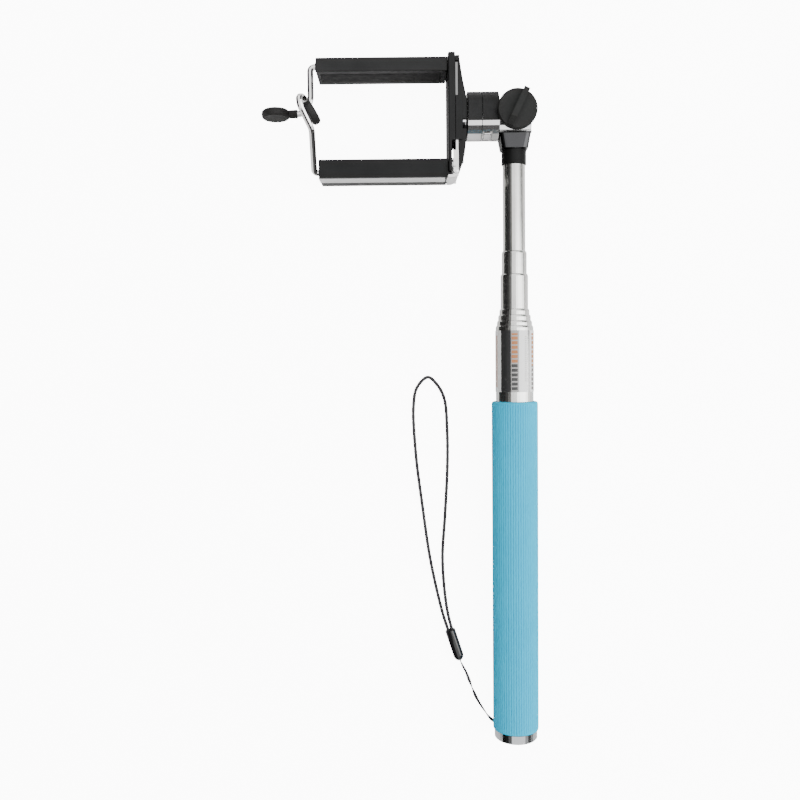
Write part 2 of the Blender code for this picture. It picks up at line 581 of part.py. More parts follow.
side_v = Vector((BD.y, -BD.x, 0)).normalized()        # across the bead, towards -u
FLOOR = -OFF_W
LOOP_W = FLOOR + STRAP_R + 0.02
inner_a = BEAD_A + BD * 7.0 + side_v * 0.90
inner_b = BEAD_A + BD * 7.0 - side_v * 0.90
mouth_a = BEAD_A - BD * 1.0 + side_v * 0.95
mouth_b = BEAD_A - BD * 1.0 - side_v * 0.95
left = [(-34.4, -233.0, LOOP_W + 0.4), (-39.8, -207.9, LOOP_W), (-43.6, -180.1, LOOP_W), (-46.3, -156.9, LOOP_W), (-47.2, -133.3, LOOP_W),
        (-45.4, -124.6, LOOP_W)]
right = [(-40.2, -119.8, LOOP_W), (-35.6, -123.7, LOOP_W), (-32.4, -130.4, LOOP_W), (-31.2, -145.1, LOOP_W),
         (-31.2, -162.7, LOOP_W), (-32.5, -186.0, LOOP_W), (-33.9, -207.9, LOOP_W), (-32.2, -230.5, LOOP_W + 0.4)]
if (Vector(left[0]) - BEAD_A).dot(side_v) < (Vector(right[-1]) - BEAD_A).dot(side_v):
    inner_a, inner_b, mouth_a, mouth_b = inner_b, inner_a, mouth_b, mouth_a
route = [tuple(inner_a), tuple(mouth_a)] + left + right + [tuple(mouth_b), tuple(inner_b)]
bent_rod("strap_loop", above(smooth_route(route, 3.6), LOOP_W), STRAP_R, CORD, "handle", 2)

TAIL_W = FLOOR + TAIL_R + 0.05
exit_in = HOLE_DIR * 8.6 + Vector((0, HOLE_V, 0))
exit_out = HOLE_DIR * 11.4 + Vector((0, HOLE_V, 0))
tail = [tuple(BEAD_B - BD * 3.0), tuple(BEAD_B + BD * 0.6), (-24.6, -260.2, TAIL_W + 0.9), (-22.9, -263.6, TAIL_W),
        (-20.7, -269.5, TAIL_W), (-18.0, -276.2, TAIL_W), (-14.4, -282.3, TAIL_W), (-10.9, -287.0, TAIL_W),
        tuple(exit_out), tuple(exit_in)]
bent_rod("strap_tail", above(smooth_route(tail, 1.3), TAIL_W), TAIL_R, CORD, "handle", 2)
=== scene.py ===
import math

import bmesh
import bpy
from mathutils import Matrix, Vector


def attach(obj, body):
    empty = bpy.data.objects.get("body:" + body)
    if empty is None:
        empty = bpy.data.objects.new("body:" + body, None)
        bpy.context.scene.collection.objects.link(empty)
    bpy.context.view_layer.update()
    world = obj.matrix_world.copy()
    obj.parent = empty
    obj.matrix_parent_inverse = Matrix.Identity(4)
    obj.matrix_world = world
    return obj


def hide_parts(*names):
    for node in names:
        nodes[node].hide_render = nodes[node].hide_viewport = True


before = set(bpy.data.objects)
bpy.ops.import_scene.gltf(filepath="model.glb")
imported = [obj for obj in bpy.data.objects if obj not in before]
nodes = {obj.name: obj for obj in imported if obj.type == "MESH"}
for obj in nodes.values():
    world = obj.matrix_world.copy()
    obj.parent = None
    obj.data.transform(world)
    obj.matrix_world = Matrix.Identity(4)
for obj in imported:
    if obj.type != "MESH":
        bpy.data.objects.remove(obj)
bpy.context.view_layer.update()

MM = 0.001
OU, OV, OW = 52.26, 132.67, 11.0          # design frame (mm) to the row frame


def P(u, v, w):
    return Vector(((u + OU) * MM, (v + OV) * MM, (w + OW) * MM))


# ================================================================ camera
cam_data = bpy.data.cameras.new("camera")
cam = bpy.data.objects.new("camera", cam_data)
bpy.context.collection.objects.link(cam)
cam_data.sensor_width = 36.0
cam_data.lens = 39.825
cam_data.clip_start = 0.01
cam_data.clip_end = 20
cam.location = P(-53.67, -108.1, 413.5)
pitch, roll = math.radians(-3.04), math.radians(-0.60)
cam.matrix_world = Matrix.Translation(cam.location) @ (Matrix.Rotation(pitch, 4, "X") @ Matrix.Rotation(roll, 4, "Z"))
bpy.context.scene.camera = cam


# ================================================================ material kit
class Mat:
    """A small helper round a node tree: everything varies by object coordinates, in metres."""

    def __init__(self, name):
        self.m = bpy.data.materials.new(name)
        self.m.use_nodes = True
        self.nt = self.m.node_tree
        self.b = self.nt.nodes["Principled BSDF"]
        self.coord = self.nt.nodes.new("ShaderNodeTexCoord").outputs["Object"]

    def node(self, kind, **inputs):
        n = self.nt.nodes.new(kind)
        for k, v in inputs.items():
            self.put(n, k, v)
        return n

    def put(self, n, k, v):
        sock = n.inputs[k if not k.isdigit() else int(k)] if isinstance(k, str) else n.inputs[k]
        if isinstance(v, bpy.types.NodeSocket):
            self.nt.links.new(v, sock)
        else:
            sock.default_value = v

    def scaled(self, x, y, z, turn=(0, 0, 0)):
        mp = self.nt.nodes.new("ShaderNodeMapping")
        self.nt.links.new(self.coord, mp.inputs["Vector"])
        mp.inputs["Scale"].default_value = (x, y, z)
        mp.inputs["Rotation"].default_value = turn
        return mp.outputs["Vector"]

    def noise(self, scale, detail=4.0, rough=0.6, vector=None):
        n = self.nt.nodes.new("ShaderNodeTexNoise")
        self.nt.links.new(vector or self.coord, n.inputs["Vector"])
        n.inputs["Scale"].default_value = scale
        n.inputs["Detail"].default_value = detail
        n.inputs["Roughness"].default_value = rough
        return n.outputs["Fac"]

    def ramp(self, fac, stops, mode="LINEAR"):
        r = self.nt.nodes.new("ShaderNodeValToRGB")
        self.nt.links.new(fac, r.inputs["Fac"])
        r.color_ramp.interpolation = mode
        els = r.color_ramp.elements
        while len(els) < len(stops):
            els.new(0.5)
        for e, (pos, col) in zip(els, stops):
            e.position = pos
            e.color = (*col, 1.0) if hasattr(col, "__len__") else (col, col, col, 1.0)
        return r.outputs["Color"]

    def math(self, op, a, b=None, clamp=False):
        n = self.nt.nodes.new("ShaderNodeMath")
        n.operation = op
        n.use_clamp = clamp
        for i, v in enumerate((a, b)):
            if v is None:
                continue
            if isinstance(v, bpy.types.NodeSocket):
                self.nt.links.new(v, n.inputs[i])
            else:
                n.inputs[i].default_value = v
        return n.outputs[0]

    def mix(self, fac, a, b, blend="MIX"):
        n = self.nt.nodes.new("ShaderNodeMix")
        n.data_type = "RGBA"
        n.blend_type = blend
        for key, v in ((0, fac), (6, a), (7, b)):
            if isinstance(v, bpy.types.NodeSocket):
                self.nt.links.new(v, n.inputs[key])
            elif key == 0:
                n.inputs[0].default_value = v
            else:
                n.inputs[key].default_value = (*v, 1.0)
        return n.outputs[2]

    def color(self, v):
        self.put(self.b, "Base Color", v if isinstance(v, bpy.types.NodeSocket) else (*v, 1.0))

    def rough(self, v):
        self.put(self.b, "Roughness", v)

    def bump(self, height, strength, distance):
        n = self.nt.nodes.new("ShaderNodeBump")
        n.inputs["Strength"].default_value = strength
        n.inputs["Distance"].default_value = distance
        self.nt.links.new(height, n.inputs["Height"])
        prior = self.b.inputs["Normal"].links
        if prior:
            self.nt.links.new(prior[0].from_socket, n.inputs["Normal"])
        self.nt.links.new(n.outputs["Normal"], self.b.inputs["Normal"])

    def split(self):
        s = self.nt.nodes.new("ShaderNodeSeparateXYZ")
        self.nt.links.new(self.coord, s.inputs[0])
        return s.outputs


def metal(name, color, rough, var=0.08, brush=None, brush_amt=0.12, spots=0.0, grime=0.0):
    m = Mat(name)
    m.b.inputs["Metallic"].default_value = 1.0
    cloud = m.noise(60.0, 5.0)
    fine = m.noise(900.0, 3.0)
    dark = tuple(c * (1 - var) for c in color)
    base = m.mix(m.ramp(cloud, [(0.3, 0.0), (0.7, 1.0)]), dark, color)
    if grime:
        mark = m.ramp(m.noise(210.0, 6.0, 0.7), [(0.60, 0.0), (0.74, 1.0)])
        base = m.mix(m.math("MULTIPLY", mark, grime), base, tuple(c * 0.55 for c in color))
    m.color(base)
    r = m.math("MULTIPLY_ADD", fine, 0.06)
    m.nt.nodes[-1].inputs[2].default_value = rough - 0.02
    if brush:
        streak = m.noise(1.0, 4.0, 0.65, m.scaled(*brush))
        r = m.math("ADD", r, m.math("MULTIPLY", m.math("SUBTRACT", streak, 0.5), brush_amt))
        m.bump(streak, 0.06, 0.00004)
    m.rough(r)
    if spots:
        m.bump(m.noise(1400.0, 2.0), spots, 0.00003)
    return m.m


def painted_light_copy(mat, name, dark, lo, hi):
    """A copy of a metal with painted light: its colour blends into the flat tone given as dark between two heights
    along the stick (v, mm) and keeps that tone above them; darker for painted shade, brighter for a painted highlight.
    """
    m2 = mat.copy()
    m2.name = name
    nt = m2.node_tree
    bsdf = nt.nodes["Principled BSDF"]
    src = bsdf.inputs["Base Color"].links[0].from_socket
    co = [n for n in nt.nodes if n.type == "TEX_COORD"][0].outputs["Object"]
    sp = nt.nodes.new("ShaderNodeSeparateXYZ")
    nt.links.new(co, sp.inputs[0])
    mr = nt.nodes.new("ShaderNodeMapRange")
    mr.inputs["From Min"].default_value = (lo + OV) * MM
    mr.inputs["From Max"].default_value = (hi + OV) * MM
    nt.links.new(sp.outputs[1], mr.inputs["Value"])
    mx = nt.nodes.new("ShaderNodeMix")
    mx.data_type = "RGBA"
    nt.links.new(mr.outputs["Result"], mx.inputs[0])
    nt.links.new(src, mx.inputs[6])
    # the flat tone painted in: painted shade on the slider, painted highlight on the yoke
    mx.inputs[7].default_value = (*dark, 1.0)
    nt.links.new(mx.outputs[2], bsdf.inputs["Base Color"])
    return m2


def plastic(name, color, rough, grain=2400.0, grain_amt=0.25, lift=0.25, spec=0.5, streaks=None):
    m = Mat(name)
    m.b.inputs["Specular IOR Level"].default_value = spec
    cloud = m.noise(90.0, 5.0)
    speck = m.noise(grain * 0.8, 3.0, 0.7)
    hi = tuple(min(1.0, c * (1 + lift) + 0.001) for c in color)
    base = m.mix(m.ramp(cloud, [(0.32, 0.0), (0.68, 1.0)]), tuple(c * (1 - lift * 0.5) for c in color), hi)
    base = m.mix(m.ramp(speck, [(0.45, 0.0), (0.75, 0.5)]), base, tuple(min(1.0, c * 1.6 + 0.003) for c in color))
    m.color(base)
    rr = m.ramp(m.noise(300.0, 4.0), [(0.3, rough * 0.86), (0.7, min(1.0, rough * 1.14))])
    if streaks:
        st = m.noise(1.0, 3.0, 0.6, m.scaled(*streaks))
        rr = m.math("ADD", m.math("MULTIPLY", rr, 1.0), m.math("MULTIPLY", m.math("SUBTRACT", st, 0.5), 0.25))
    m.rough(rr)
    m.bump(m.noise(grain, 2.0, 0.6), grain_amt, 0.00005)
    return m.m


def use(mat, *names):
    for n in names:
        o = nodes[n] if isinstance(n, str) else n
        if not o.material_slots:
            o.data.materials.append(mat)
        for s in o.material_slots:
            s.material = mat


# ================================================================ materials
TUBE = metal("mat_tube_steel", (0.72, 0.715, 0.69), 0.20, 0.14, brush=(40, 1500, 40), brush_amt=0.20, grime=0.35)
CHROME = metal("mat_chrome", (0.86, 0.86, 0.865), 0.07, 0.05, spots=0.04, grime=0.15)
SLIDERM = metal("mat_slider_chrome", (0.90, 0.895, 0.89), 0.12, 0.10, brush=(60, 500, 500), brush_amt=0.08, spots=0.05, grime=0.3)
WIRE = metal("mat_wire_chrome", (0.88, 0.87, 0.86), 0.06, 0.04, spots=0.03)
# painted shade: the slider chrome darkens to 0.20 from v = -14 to -8 and stays dark above, where it sits recessed
# between back plate and cover
SLIDERM = painted_light_copy(SLIDERM, "mat_slider_chrome_painted_shade", (0.20, 0.20, 0.20), -14.0, -8.0)
SATIN = metal("mat_satin_chrome", (0.74, 0.735, 0.73), 0.15, 0.08, spots=0.10, grime=0.25)
SMOKE = metal("mat_smoked_chrome", (0.055, 0.055, 0.057), 0.24, 0.12, spots=0.08, grime=0.25)
# painted highlight: the smoked yoke turns bright chrome (0.88) above v = -8.25, standing in for the bright strip along
# the cheeks' lower end
SMOKE = painted_light_copy(SMOKE, "mat_smoked_chrome_step_highlight", (0.88, 0.88, 0.88), -8.45, -8.25)
CAPM = metal("mat_cap_chrome", (0.44, 0.45, 0.46), 0.16, 0.12, brush=(500, 120, 500), brush_amt=0.12, grime=0.5)
SPRINGM = metal("mat_spring", (0.52, 0.51, 0.50), 0.30, 0.15)
BRONZEM = metal("mat_bronze", (0.70, 0.50, 0.28), 0.32, 0.15, brush=(500, 60, 500))
HEADBLK = plastic("mat_head_plastic", (0.0125, 0.0125, 0.0128), 0.50, 2600.0, 0.35, 0.3, 0.14)
KNOBBLK = plastic("mat_knob_plastic", (0.0125, 0.0125, 0.0122), 0.50, 1700.0, 0.55, 0.35, 0.14)
JAWBLK = plastic("mat_jaw_plastic", (0.0150, 0.0150, 0.0152), 0.42, 2800.0, 0.18, 0.25, 0.12, streaks=(40, 900, 900))
# painted shade: the lower jaw gets a darker copy of the same jaw plastic (0.0085 against 0.0150)
JAWBLK_SHADED = plastic("mat_jaw_plastic_low_shaded", (0.0085, 0.0085, 0.0088), 0.38, 2800.0, 0.18, 0.25, 0.12, streaks=(40, 900, 900))
HOUSBLK = plastic("mat_housing_plastic", (0.0082, 0.0082, 0.0084), 0.36, 2600.0, 0.15, 0.25, 0.15)
COLLARM = plastic("mat_collar_plastic", (0.0045, 0.0045, 0.0045), 0.40, 2200.0, 0.15, 0.3, 0.12)
PADM = plastic("mat_pad_rubber", (0.0150, 0.0150, 0.0150), 0.70, 1500.0, 0.35, 0.3, 0.15)
PADDLEM = plastic("mat_paddle_rubber", (0.0140, 0.0137, 0.0137), 0.62, 1300.0, 0.4, 0.25, 0.20)
BEADM = plastic("mat_bead_gloss", (0.006, 0.006, 0.0065), 0.12, 900.0, 0.04, 0.3, 0.45)
NYLONM = plastic("mat_nylon", (0.62, 0.62, 0.58), 0.45, 1500.0, 0.15, 0.05)


def grip_material():
    m = Mat("mat_grip_rubber")
    cloud = m.noise(28.0, 6.0, 0.6)
    fine = m.noise(620.0, 4.0, 0.65)
    base = m.mix(m.ramp(cloud, [(0.30, 0.0), (0.72, 1.0)]), (0.000, 0.440, 0.690), (0.000, 0.500, 0.760))
    base = m.mix(m.ramp(fine, [(0.42, 0.0), (0.80, 0.45)]), base, (0.002, 0.56, 0.80))
    # faint scuffs that follow the flutes
    scuff = m.noise(1.0, 5.0, 0.7, m.scaled(900, 14, 900))
    base = m.mix(m.ramp(scuff, [(0.62, 0.0), (0.80, 0.35)]), base, (0.01, 0.60, 0.83))
    m.color(base)
    m.rough(m.ramp(m.noise(160.0, 5.0), [(0.3, 0.44), (0.7, 0.60)]))
    m.b.inputs["Specular IOR Level"].default_value = 0.08
    m.b.inputs["Sheen Weight"].default_value = 0.02
    m.b.inputs["Sheen Roughness"].default_value = 0.5
    m.bump(m.noise(1900.0, 3.0, 0.65), 0.22, 0.00006)
    m.bump(m.noise(1.0, 3.0, 0.6, m.scaled(500, 30, 500)), 0.12, 0.00008)
    return m.m


GRIPM = grip_material()

# ================================================================ strap: cords first
def smooth_route(points, step):
    pts = [Vector(p) for p in points]
    ext = [pts[0] * 2 - pts[1]] + pts + [pts[-1] * 2 - pts[-2]]
    dense = []
    for i in range(1, len(ext) - 2):
        p0, p1, p2, p3 = ext[i - 1:i + 3]
        t0 = 0.0
        t1 = t0 + max((p1 - p0).length, 1e-6) ** 0.5
        t2 = t1 + max((p2 - p1).length, 1e-6) ** 0.5
        t3 = t2 + max((p3 - p2).length, 1e-6) ** 0.5
        for k in range(24):
            t = t1 + (t2 - t1) * k / 24
            a1 = p0 * ((t1 - t) / (t1 - t0)) + p1 * ((t - t0) / (t1 - t0))
            a2 = p1 * ((t2 - t) / (t2 - t1)) + p2 * ((t - t1) / (t2 - t1))
            a3 = p2 * ((t3 - t) / (t3 - t2)) + p3 * ((t - t2) / (t3 - t2))
            b1 = a1 * ((t2 - t) / (t2 - t0)) + a2 * ((t - t0) / (t2 - t0))
            b2 = a2 * ((t3 - t) / (t3 - t1)) + a3 * ((t - t1) / (t3 - t1))
            dense.append(b1 * ((t2 - t) / (t2 - t1)) + b2 * ((t - t1) / (t2 - t1)))
    dense.append(pts[-1])
    total = sum((b - a).length for a, b in zip(dense, dense[1:]))
    n = max(2, round(total / step))
    out, run, j = [dense[0]], 0.0, 1
    for k in range(1, n):
        want = total * k / n
        while run + (dense[j] - dense[j - 1]).length < want:
            run += (dense[j] - dense[j - 1]).length
            j += 1
        seg = (dense[j] - dense[j - 1])
        out.append(dense[j - 1] + seg * ((want - run) / seg.length))
    out.append(dense[-1])
    return out, total


STRAP_R, TAIL_R = 0.85, 0.55
BEAD_A, BEAD_B = Vector((-30.6, -242.1, -8.45)), Vector((-25.9, -256.7, -8.45))
BD = (BEAD_B - BEAD_A).normalized()
BL = (BEAD_B - BEAD_A).length
HOLE_DIR = Vector((-math.sin(math.radians(40)), 0, -math.cos(math.radians(40))))
HOLE_V = -289.1
side_v = Vector((BD.y, -BD.x, 0)).normalized()
FLOOR = -OW
LOOP_W = FLOOR + STRAP_R + 0.02
inner_a = BEAD_A + BD * 7.0 + side_v * 0.90
inner_b = BEAD_A + BD * 7.0 - side_v * 0.90
mouth_a = BEAD_A - BD * 1.0 + side_v * 0.95
mouth_b = BEAD_A - BD * 1.0 - side_v * 0.95
left = [(-34.4, -233.0, LOOP_W + 0.4), (-39.8, -207.9, LOOP_W), (-43.6, -180.1, LOOP_W), (-46.3, -156.9, LOOP_W), (-47.2, -133.3, LOOP_W),
        (-45.4, -124.6, LOOP_W)]
right = [(-40.2, -119.8, LOOP_W), (-35.6, -123.7, LOOP_W), (-32.4, -130.4, LOOP_W), (-31.2, -145.1, LOOP_W),
         (-31.2, -162.7, LOOP_W), (-32.5, -186.0, LOOP_W), (-33.9, -207.9, LOOP_W), (-32.2, -230.5, LOOP_W + 0.4)]
if (Vector(left[0]) - BEAD_A).dot(side_v) < (Vector(right[-1]) - BEAD_A).dot(side_v):
    inner_a, inner_b, mouth_a, mouth_b = inner_b, inner_a, mouth_b, mouth_a
route = [tuple(inner_a), tuple(mouth_a)] + left + right + [tuple(mouth_b), tuple(inner_b)]
TAIL_W = FLOOR + TAIL_R + 0.05
exit_in = HOLE_DIR * 8.6 + Vector((0, HOLE_V, 0))
exit_out = HOLE_DIR * 11.4 + Vector((0, HOLE_V, 0))
tail = [tuple(BEAD_B - BD * 3.0), tuple(BEAD_B + BD * 0.6), (-24.6, -260.2, TAIL_W + 0.9), (-22.9, -263.6, TAIL_W),
        (-20.7, -269.5, TAIL_W), (-18.0, -276.2, TAIL_W), (-14.4, -282.3, TAIL_W), (-10.9, -287.0, TAIL_W),
        tuple(exit_out), tuple(exit_in)]


def frames_along(pts):
    """Parallel-transport frames: (point, tangent, normal, binormal)."""
    out = []
    t_prev = (pts[1] - pts[0]).normalized()
    n = Vector((0, 0, 1))
    n = (n - t_prev * n.dot(t_prev)).normalized()
    for i, p in enumerate(pts):
        a = pts[max(0, i - 1)]
        b = pts[min(len(pts) - 1, i + 1)]
        t = (b - a).normalized()
        n = (n - t * n.dot(t)).normalized()
        out.append((p, t, n, t.cross(n)))
    return out


def mesh_object(name, verts, faces, mat, smooth=True, sharp=None):
    me = bpy.data.meshes.new(name)
    me.from_pydata([tuple(v) for v in verts], [], faces)
    me.update()
    bm = bmesh.new()
    bm.from_mesh(me)
    bmesh.ops.recalc_face_normals(bm, faces=bm.faces)
    bm.to_mesh(me)
    bm.free()
    if smooth:
        me.shade_smooth()
        if sharp is not None:
            me.set_sharp_from_angle(angle=math.radians(sharp))
    me.materials.append(mat)
    ob = bpy.data.objects.new(name, me)
    bpy.context.collection.objects.link(ob)
    return ob


def sweep(name, pts, section, mat):
    """Sweeps section(i, s) -> list of (n, b) offsets in mm along the frames; capped ends."""
    fr = frames_along(pts)
    verts, faces, s, k = [], [], 0.0, None
    for i, (p, t, n, b) in enumerate(fr):
        if i:
            s += (pts[i] - pts[i - 1]).length
        ring = section(i, s)
        k = len(ring)
        for x, y in ring:
            q = p + n * x + b * y
            verts.append(P(*q))
    for i in range(len(fr) - 1):
        for j in range(k):
            faces.append((i * k + j, i * k + (j + 1) % k, (i + 1) * k + (j + 1) % k, (i + 1) * k + j))
    faces.append(tuple(range(k)))
    faces.append(tuple((len(fr) - 1) * k + j for j in range(k)))
    return mesh_object(name, verts, faces, mat)


def cord_material():
    m = Mat("mat_braided_cord")
    cloud = m.noise(400.0, 4.0)
    m.color(m.mix(m.ramp(cloud, [(0.3, 0.0), (0.7, 1.0)]), (0.010, 0.010, 0.011), (0.030, 0.030, 0.031)))
    m.rough(m.ramp(m.noise(1500.0, 3.0), [(0.3, 0.5), (0.7, 0.8)]))
    m.b.inputs["Sheen Weight"].default_value = 0.25
    m.b.inputs["Sheen Roughness"].default_value = 0.45
    m.bump(m.noise(5000.0, 3.0), 0.3, 0.00005)
    return m.m


CORDM = cord_material()
def above(points, w):
    pts = [Vector((p.x, p.y, max(p.z, w))) for p in points]
    return pts, sum((b - a).length for a, b in zip(pts, pts[1:]))


loop_pts, loop_len = above(smooth_route(route, 0.32)[0], LOOP_W)
NS = 16


def braid(i, s):
    # eight-strand braid: two sets of helical bumps crossing each other
    ring = []
    for j in range(NS):
        a = 2 * math.pi * j / NS
        ph = 2 * math.pi * s / 3.4
        bump = 0.5 * (math.cos(4 * a + ph) + math.cos(4 * a - ph)) * 0.5
        r = STRAP_R - 0.055 + 0.075 * bump
        ring.append((r * math.cos(a), r * math.sin(a)))
    return ring


strap = sweep("strap_cord_braided", loop_pts, braid, CORDM)
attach(strap, "handle")
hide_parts("strap_loop")

tail_pts, tail_len = above(smooth_route(tail, 0.35)[0], TAIL_W + 0.18)


def tape(i, s):
    # a thin woven tape that twists now and then, round where it enters the bead and the cap
    end = min(1.0, s / 4.0, max(0.0, (tail_len - s)) / 4.0)
    w = 0.50 + 0.25 * end
    t = 0.50 - 0.20 * end
    tw = 2 * math.pi * s / 26.0 + 0.5 * math.sin(s * 0.33)
    ring = []
    for j in range(12):
        a = 2 * math.pi * j / 12
        x = t * math.cos(a) * (1 + 0.05 * math.sin(5.0 * s))
        y = w * math.sin(a) * (1 + 0.03 * math.sin(5.0 * s + 1.5))
        ring.append((x * math.cos(tw) - y * math.sin(tw), x * math.sin(tw) + y * math.cos(tw)))
    return ring


tail_ob = sweep("strap_tail_tape", tail_pts, tape, CORDM)
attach(tail_ob, "handle")
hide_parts("strap_tail")


# ================================================================ lathe helper for replacements
def lathe(name, prof, mat, axis="Y", centre=(0, 0, 0), segs=64, sharp=40, radial=None):
    """Closed profile of (radius, position); radial(a, r, h) may change the radius."""
    verts, faces = [], []
    k = len(prof)
    for i in range(segs):
        a = 2 * math.pi * i / segs
        for r, h in prof:
            rr = radial(a, r, h) if radial else r
            c, s = rr * math.cos(a), rr * math.sin(a)
            p = {"Y": (c, h, s), "X": (h, c, s), "Z": (c, s, h)}[axis]
            verts.append(P(p[0] + centre[0], p[1] + centre[1], p[2] + centre[2]))
    for i in range(segs):
        n = (i + 1) % segs
        for j in range(k):
            m = (j + 1) % k
            faces.append((i * k + j, i * k + m, n * k + m, n * k + j))
    ob = mesh_object(name, verts, faces, mat, True, sharp)
    bm = bmesh.new()
    bm.from_mesh(ob.data)
    bmesh.ops.remove_doubles(bm, verts=bm.verts, dist=1e-7)
    bmesh.ops.recalc_face_normals(bm, faces=bm.faces)
    bm.to_mesh(ob.data)
    bm.free()
    return ob


# ================================================================ ribbed grip
GRIP_R, GRIP_TOP, GRIP_END = 10.78, -131.2, -287.0
FLUTES, PER = 56, 12


def flute(a, r, h):
    if r < 9.2:
        return r
    x = (a * FLUTES / (2 * math.pi)) % 1.0
    # rounded ribs with a narrow groove between them
    d = abs(x - 0.5) * 2
    depth = 0.34 * max(0.0, (d - 0.62) / 0.38) ** 0.8 if d > 0.62 else 0.0
    crown = 0.04 * (d ** 2)
    fade = min(1.0, max(0.0, (GRIP_TOP - 0.5 - h) / 0.8)) * min(1.0, max(0.0, (h - GRIP_END - 0.3) / 0.8))
    return r - (depth + crown) * fade


prof = [(8.92, GRIP_END + 0.2), (GRIP_R - 0.45, GRIP_END), (GRIP_R - 0.12, GRIP_END + 0.2), (GRIP_R, GRIP_END + 0.7), (GRIP_R, GRIP_END + 1.4)]
prof += [(GRIP_R, GRIP_END + 1.4 + (GRIP_TOP - GRIP_END - 3.2) * i / 12) for i in range(1, 12)]
prof += [(GRIP_R, GRIP_TOP - 1.8), (GRIP_R, GRIP_TOP - 1.2), (GRIP_R - 0.10, GRIP_TOP - 0.6), (GRIP_R - 0.45, GRIP_TOP - 0.15),
         (GRIP_R - 0.9, GRIP_TOP), (9.1, GRIP_TOP), (8.92, GRIP_TOP - 0.2)]
grip = lathe("grip_ribbed", prof, GRIPM, segs=FLUTES * PER, sharp=60, radial=flute)
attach(grip, "handle")
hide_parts("grip_sleeve")


# ================================================================ printed wrap: plain colour blocks only
def label_material():
    m = Mat("mat_label_wrap")
    xyz = m.split()
    u = m.math("SUBTRACT", xyz[0], OU * MM)
    w = m.math("SUBTRACT", xyz[2], OW * MM)
    ang = m.math("ARCTAN2", w, u)                       # 0 at +u, pi/2 on top
    deg = m.math("MULTIPLY", ang, 180 / math.pi)
    v = m.math("MULTIPLY", m.math("SUBTRACT", xyz[1], OV * MM), 1000.0)

    def band(x, lo, hi):
        return m.math("MULTIPLY", m.math("GREATER_THAN", x, lo), m.math("LESS_THAN", x, hi))

    edge = m.math("MULTIPLY", m.math("SUBTRACT", m.noise(900.0, 3.0), 0.5), 2.2)
    dj = m.math("ADD", deg, edge)
    steel = (0.66, 0.655, 0.645)
    white = (0.86, 0.86, 0.85)
    dark = (0.030, 0.030, 0.031)
    orange = (0.42, 0.14, 0.03)
    brown = (0.12, 0.055, 0.025)
    base = m.mix(band(dj, -200.0, 200.0), steel, white)
    base = m.mix(band(dj, 84.0, 108.0), base, (0.34, 0.33, 0.32))
    base = m.mix(band(dj, 108.0, 141.0), base, dark)          # dark stripe on the left half
    base = m.mix(band(dj, 141.0, 158.0), base, white)
    side = m.math("MULTIPLY", band(dj, 158.0, 172.0), band(v, -124.5, -100.5))
    base = m.mix(m.math("MULTIPLY", side, 0.75), base, orange)
    # block columns beside the stripe: plain rectangles in place of print
    cell = m.math("FRACT", m.math("MULTIPLY", v, 1 / 2.1))
    blk = m.math("MULTIPLY", band(cell, 0.16, 0.84), band(dj, 88.0, 106.0))
    upper = m.math("MULTIPLY", blk, band(v, -113.4, -99.6))
    lower = m.math("MULTIPLY", blk, band(v, -125.6, -113.4))
    base = m.mix(upper, base, orange)
    base = m.mix(lower, base, (0.006, 0.006, 0.006))
    fine = m.math("MULTIPLY", band(m.math("FRACT", m.math("MULTIPLY", v, 1 / 0.95)), 0.25, 0.75), band(dj, 60.0, 66.0))
    base = m.mix(m.math("MULTIPLY", m.math("MULTIPLY", fine, band(v, -122.0, -101.0)), 0.7), base, (0.35, 0.34, 0.33))
    right = m.math("MULTIPLY", band(dj, 22.0, 38.0), band(cell, 0.10, 0.90))
    base = m.mix(m.math("MULTIPLY", right, band(v, -114.5, -99.6)), base, orange)
    base = m.mix(m.math("MULTIPLY", right, band(v, -125.6, -114.5)), base, (0.10, 0.085, 0.07))
    clear = m.math("MAXIMUM", m.math("LESS_THAN", dj, -8.0), band(dj, 46.0, 56.0))
    base = m.mix(clear, base, steel)
    wear = m.ramp(m.noise(140.0, 6.0, 0.7), [(0.62, 0.0), (0.85, 0.25)])
    base = m.mix(wear, base, (0.60, 0.59, 0.58))
    m.color(base)
    m.put(m.b, "Metallic", m.math("MULTIPLY", clear, 0.85))
    m.rough(m.ramp(m.noise(260.0, 4.0), [(0.3, 0.16), (0.7, 0.30)]))
    m.b.inputs["Coat Weight"].default_value = 0.6
    m.b.inputs["Coat Roughness"].default_value = 0.10
    m.bump(m.noise(180.0, 4.0), 0.10, 0.0002)
    return m.m


LABELM = label_material()
label = lathe("label_wrap", [(8.79, -126.6), (8.93, -126.6), (8.95, -126.4), (8.95, -98.5), (8.93, -98.3), (8.79, -98.3)], LABELM,
              segs=128, sharp=50)
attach(label, "handle")
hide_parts("label_film")

# ================================================================ carried-over CAD nodes
use(TUBE, "outer_tube", *["stage_%d_tube" % i for i in range(2, 8)])
use(BRONZEM, *["friction_sleeve_%d" % i for i in range(2, 8)])
use(CAPM, "end_cap")
use(COLLARM, "top_collar")
use(SMOKE, "yoke_fork")
use(CHROME, "tilt_bolt", "knob_washer", "tripod_stud", "thread_insert", "index_tab", "cover_screw_upper",
        "cover_screw_lower", "slider_rivet_front", "slider_rivet_rear")
use(SLIDERM, "slider_bracket")
use(SATIN, "tilt_block", "lock_ring")
use(HEADBLK, "tilt_block_cover", "lock_ring_cover")
use(KNOBBLK, "tilt_knob")
use(HOUSBLK, "back_plate", "back_cover")
use(JAWBLK, "upper_jaw")
# painted shade: the lower jaw uses the darker copy of the jaw plastic
use(JAWBLK_SHADED, "lower_jaw")
use(PADM, "upper_jaw_pad", "lower_jaw_pad", "seat_washer")
use(BEADM, "strap_bead", "upper_wire_bush", "lower_wire_bush")
use(PADDLEM, "upper_paddle", "lower_paddle")
use(WIRE, "upper_wire", "lower_wire")
use(SPRINGM, "return_spring_front", "return_spring_rear")
use(NYLONM, "friction_disc_upper", "friction_disc_lower")


# ================================================================ floor and light
FLOOR_GLOW = 10.0


